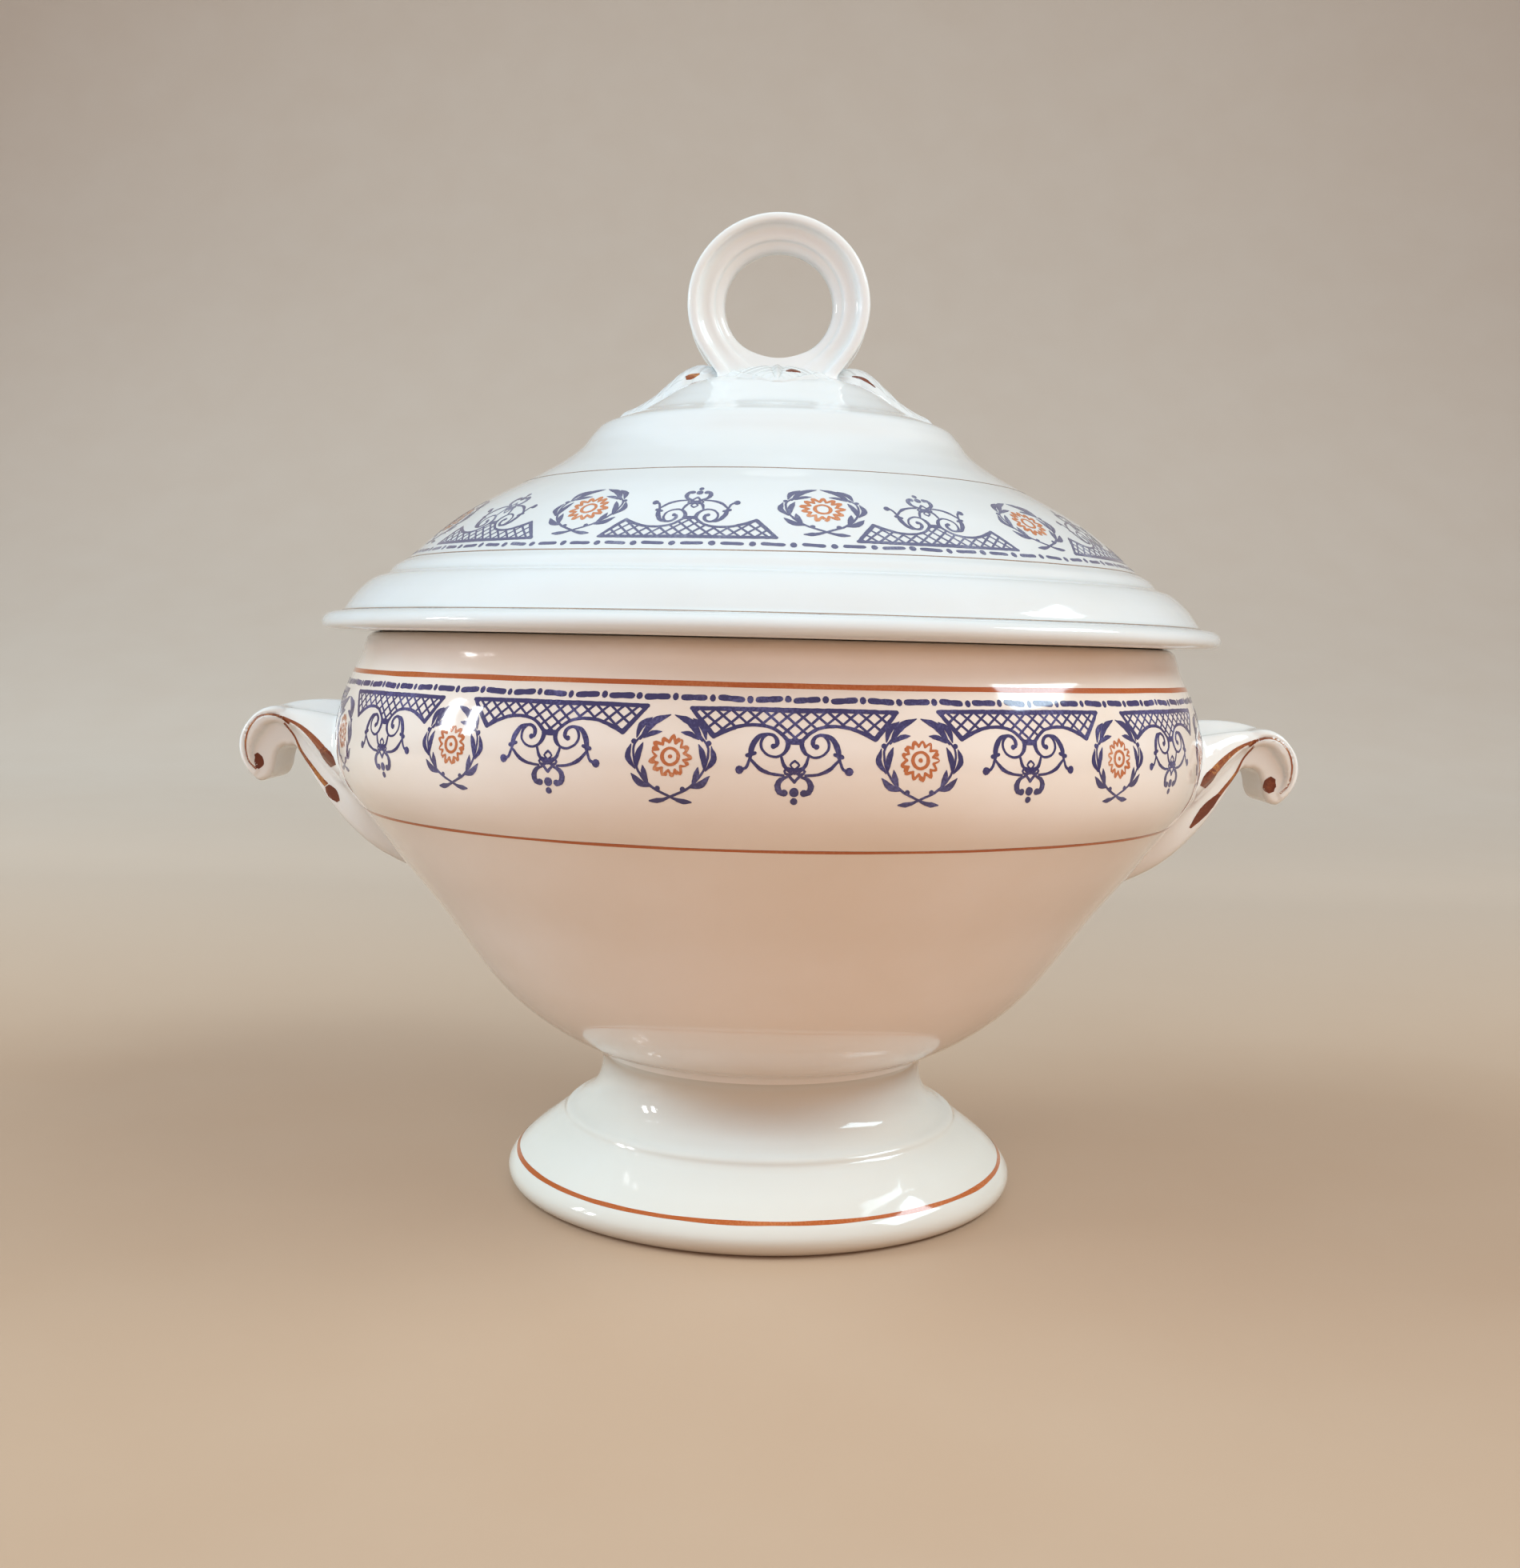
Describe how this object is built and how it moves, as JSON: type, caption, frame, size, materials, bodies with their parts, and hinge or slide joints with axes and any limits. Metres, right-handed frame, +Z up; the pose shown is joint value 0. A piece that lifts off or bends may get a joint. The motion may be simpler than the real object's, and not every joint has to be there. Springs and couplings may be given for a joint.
{
  "type": "covered tureen",
  "caption": "Round pedestal serving bowl with scroll side handles and a lift-off domed lid topped by a ring grip, in glazed porcelain with printed and painted bands.",
  "frame": {"origin": "centre of the circle the pedestal foot stands on, at the height of the table", "axes": "+Z up through the centre of bowl, lid and ring; +X through the middle of the right handle and in the plane of the ring; -Y towards the front"},
  "size_m": [0.3006, 0.25, 0.2754],
  "materials": {
    "bowl_glaze": "polished",
    "foot_glaze": "polished",
    "handle_glaze": "polished",
    "lid_glaze": "polished",
    "ring_glaze": "polished",
    "leaf_glaze": "polished"
  },
  "bodies": {
    "bowl": {"bowl_body": "bowl_glaze", "pedestal_foot": "foot_glaze", "left_handle": "handle_glaze", "right_handle": "handle_glaze"},
    "lid": {"lid_shell": "lid_glaze", "ring_knob": "ring_glaze", "left_leaf": "leaf_glaze", "right_leaf": "leaf_glaze", "front_leaf": "leaf_glaze", "rear_leaf": "leaf_glaze"}
  },
  "joints": [
    {"name": "lid_lift", "type": "slide", "parent": "bowl", "child": "lid", "axis": [0, 0, 1], "range_m": [0, 0.12]}
  ]
}
